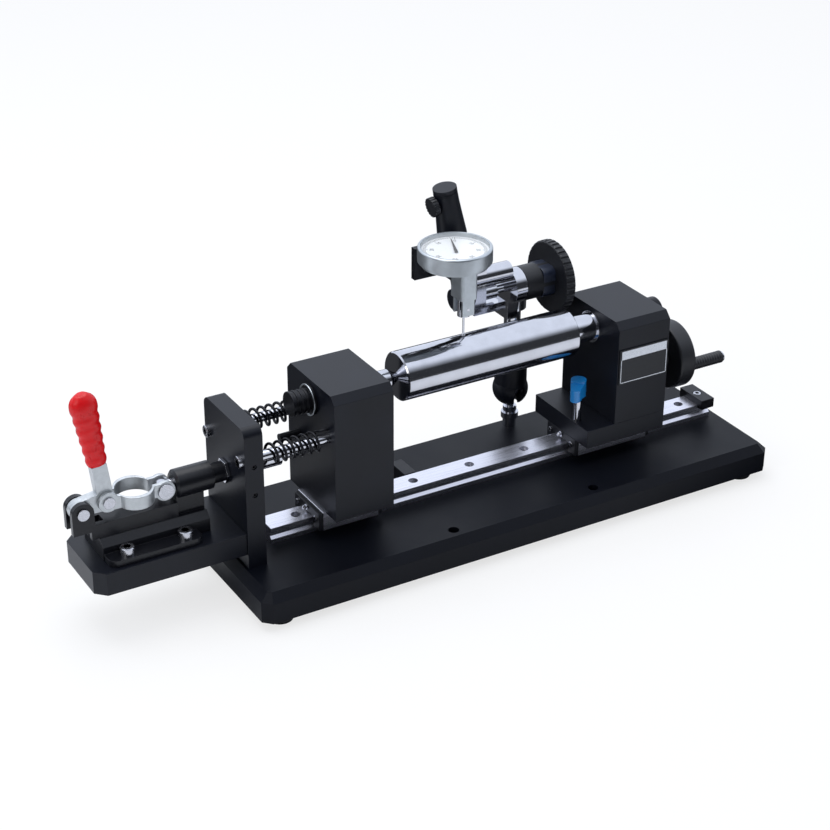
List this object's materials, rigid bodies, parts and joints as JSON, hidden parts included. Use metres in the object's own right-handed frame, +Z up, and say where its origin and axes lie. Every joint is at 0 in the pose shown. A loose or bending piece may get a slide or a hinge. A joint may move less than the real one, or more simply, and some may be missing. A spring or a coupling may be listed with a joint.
{
  "type": "bench_center",
  "caption": "Bench center with a sprung tailstock worked by a toggle clamp, a hand-driven headstock on a rail, a test mandrel and an articulated dial indicator stand.",
  "frame": {"origin": "on the table, under the middle of the whole outline", "axes": "+X along the rail towards the handwheel, +Y to the back, +Z up"},
  "size_m": [0.449, 0.118, 0.206],
  "materials": {
    "black_paint": "semi-gloss",
    "cast_black": "semi-gloss",
    "ground_steel": "satin",
    "chrome": "polished",
    "zinc_plate": "satin",
    "screw_steel": "satin",
    "black_oxide": "satin",
    "satin_silver": "satin",
    "foot_rubber": "matte",
    "black_plastic": "matte",
    "red_grip": "gloss",
    "blue_lever": "gloss",
    "dial_white": "matte",
    "clear_crystal": "clear",
    "belt_rubber": "matte"
  },
  "bodies": {
    "base": {"base_plate": "black_paint", "rubber_feet": "foot_rubber", "foot_screws": "screw_steel", "guide_rail": "ground_steel", "rail_screws": "screw_steel", "rail_end_stop": "black_oxide", "travel_stop": "black_oxide", "upright_plate": "black_paint", "plate_screws": "chrome", "clamp_table": "black_paint", "clamp_base": "cast_black", "clamp_screws": "chrome", "barrel_nut": "chrome", "handle_pivot": "screw_steel", "guide_rods": "chrome", "return_springs": "black_oxide", "stand_foot": "chrome"},
    "tailstock": {"tail_block": "black_paint", "tail_carriage": "ground_steel", "tail_center": "chrome", "center_barrel": "black_oxide", "stop_rod": "black_oxide", "plunger": "chrome", "plunger_pin": "screw_steel"},
    "toggle_handle": {"clamp_handle": "zinc_plate", "handle_grip": "red_grip", "link_pivot": "screw_steel"},
    "toggle_link": {"clamp_link": "zinc_plate"},
    "headstock": {"head_block": "black_paint", "slide_plate": "black_paint", "head_carriage": "ground_steel", "rear_cover": "black_paint", "rear_cap": "black_oxide", "label_plate": "satin_silver", "head_bearings": "ground_steel", "drive_belt": "belt_rubber", "lock_stud": "chrome"},
    "rail_lock": {"lock_lever": "blue_lever"},
    "work_spindle": {"spindle": "chrome", "test_mandrel": "chrome", "spindle_pulley": "satin_silver"},
    "drive_wheel": {"wheel_shaft": "chrome", "handwheel": "black_plastic", "crank_pin": "chrome"},
    "crank": {"crank_handle": "black_plastic"},
    "stand_arm": {"ball_housing": "black_paint", "lower_arm": "chrome"},
    "stand_elbow": {"elbow_clamp": "satin_silver"},
    "cross_arm": {"cross_bar": "chrome", "fine_adjuster": "satin_silver", "upper_arm": "black_paint", "indicator_holder": "black_oxide", "indicator_body": "satin_silver"},
    "big_knob": {"elbow_knob": "black_plastic"},
    "small_knob": {"thumb_knob": "black_plastic"},
    "dial": {"dial_bezel": "satin_silver", "dial_face": "dial_white", "crystal": "clear_crystal"},
    "dial_pointer": {"pointer": "black_oxide"},
    "indicator_stylus": {"stylus": "chrome"}
  },
  "joints": [
    {"name": "toggle_swing", "type": "hinge", "parent": "base", "child": "toggle_handle", "pos_m": [-0.21795, 0, 0.076], "axis": [0, -1, 0], "range_deg": [0, 50.5]},
    {"name": "tailstock_slide", "type": "slide", "parent": "base", "child": "tailstock", "axis": [-1, 0, 0], "range_m": [0, 0.0094], "deforming": ["return_springs"]},
    {"name": "link_swing", "type": "hinge", "parent": "toggle_handle", "child": "toggle_link", "pos_m": [-0.20225, 0, 0.0785], "axis": [0, -1, 0], "range_deg": [-71, 0]},
    {"name": "headstock_slide", "type": "slide", "parent": "base", "child": "headstock", "axis": [1, 0, 0], "range_m": [0, 0.044]},
    {"name": "lock_swing", "type": "hinge", "parent": "headstock", "child": "rail_lock", "pos_m": [0.10535, -0.012, 0.074], "axis": [0, 0, 1], "range_deg": [-30, 40]},
    {"name": "wheel_turn", "type": "hinge", "parent": "headstock", "child": "drive_wheel", "pos_m": [0.1833, 0, 0.0727], "axis": [1, 0, 0], "continuous": true},
    {"name": "spindle_turn", "type": "hinge", "parent": "headstock", "child": "work_spindle", "pos_m": [0.11, 0, 0.107], "axis": [1, 0, 0], "continuous": true},
    {"name": "crank_spin", "type": "hinge", "parent": "drive_wheel", "child": "crank", "pos_m": [0.2012, -0.016, 0.0705], "axis": [1, 0, 0], "continuous": true},
    {"name": "stand_tilt", "type": "hinge", "parent": "base", "child": "stand_arm", "pos_m": [0.09445, 0.0475, 0.0505], "axis": [-1, 0, 0], "range_deg": [0, 50]},
    {"name": "elbow_swivel", "type": "hinge", "parent": "stand_arm", "child": "stand_elbow", "pos_m": [0.09445, 0.0475, 0.1135], "axis": [0, 0, 1], "range_deg": [-9, 4]},
    {"name": "cross_arm_tilt", "type": "hinge", "parent": "stand_elbow", "child": "cross_arm", "pos_m": [0.0842, 0.032, 0.1305], "axis": [-1, 0, 0], "range_deg": [0, 90]},
    {"name": "big_knob_turn", "type": "hinge", "parent": "stand_elbow", "child": "big_knob", "pos_m": [0.112, 0.032, 0.1305], "axis": [1, 0, 0], "range_deg": [0, 180]},
    {"name": "small_knob_turn", "type": "hinge", "parent": "cross_arm", "child": "small_knob", "pos_m": [0.03544, 0.032, 0.1954], "axis": [-0.9833, 0, -0.1819], "range_deg": [0, 180]},
    {"name": "dial_turn", "type": "hinge", "parent": "cross_arm", "child": "dial", "pos_m": [0.02195, 0, 0.1775], "axis": [0, 0, 1], "continuous": true},
    {"name": "stylus_swing", "type": "hinge", "parent": "cross_arm", "child": "indicator_stylus", "pos_m": [0.02845, 0, 0.1415], "axis": [0, 1, 0], "range_deg": [-1.5, 1.5]},
    {"name": "pointer_turn", "type": "hinge", "parent": "cross_arm", "child": "dial_pointer", "pos_m": [0.02195, 0, 0.1795], "axis": [0, 0, 1], "range_deg": [-180.5, 180.5]}
  ],
  "couplings": [
    {"joint": "toggle_swing", "follows": "tailstock_slide", "rad_per_m": 92.837},
    {"joint": "link_swing", "follows": "tailstock_slide", "rad_per_m": -129.97},
    {"joint": "spindle_turn", "follows": "wheel_turn", "ratio": 1},
    {"joint": "pointer_turn", "follows": "stylus_swing", "ratio": 120}
  ]
}
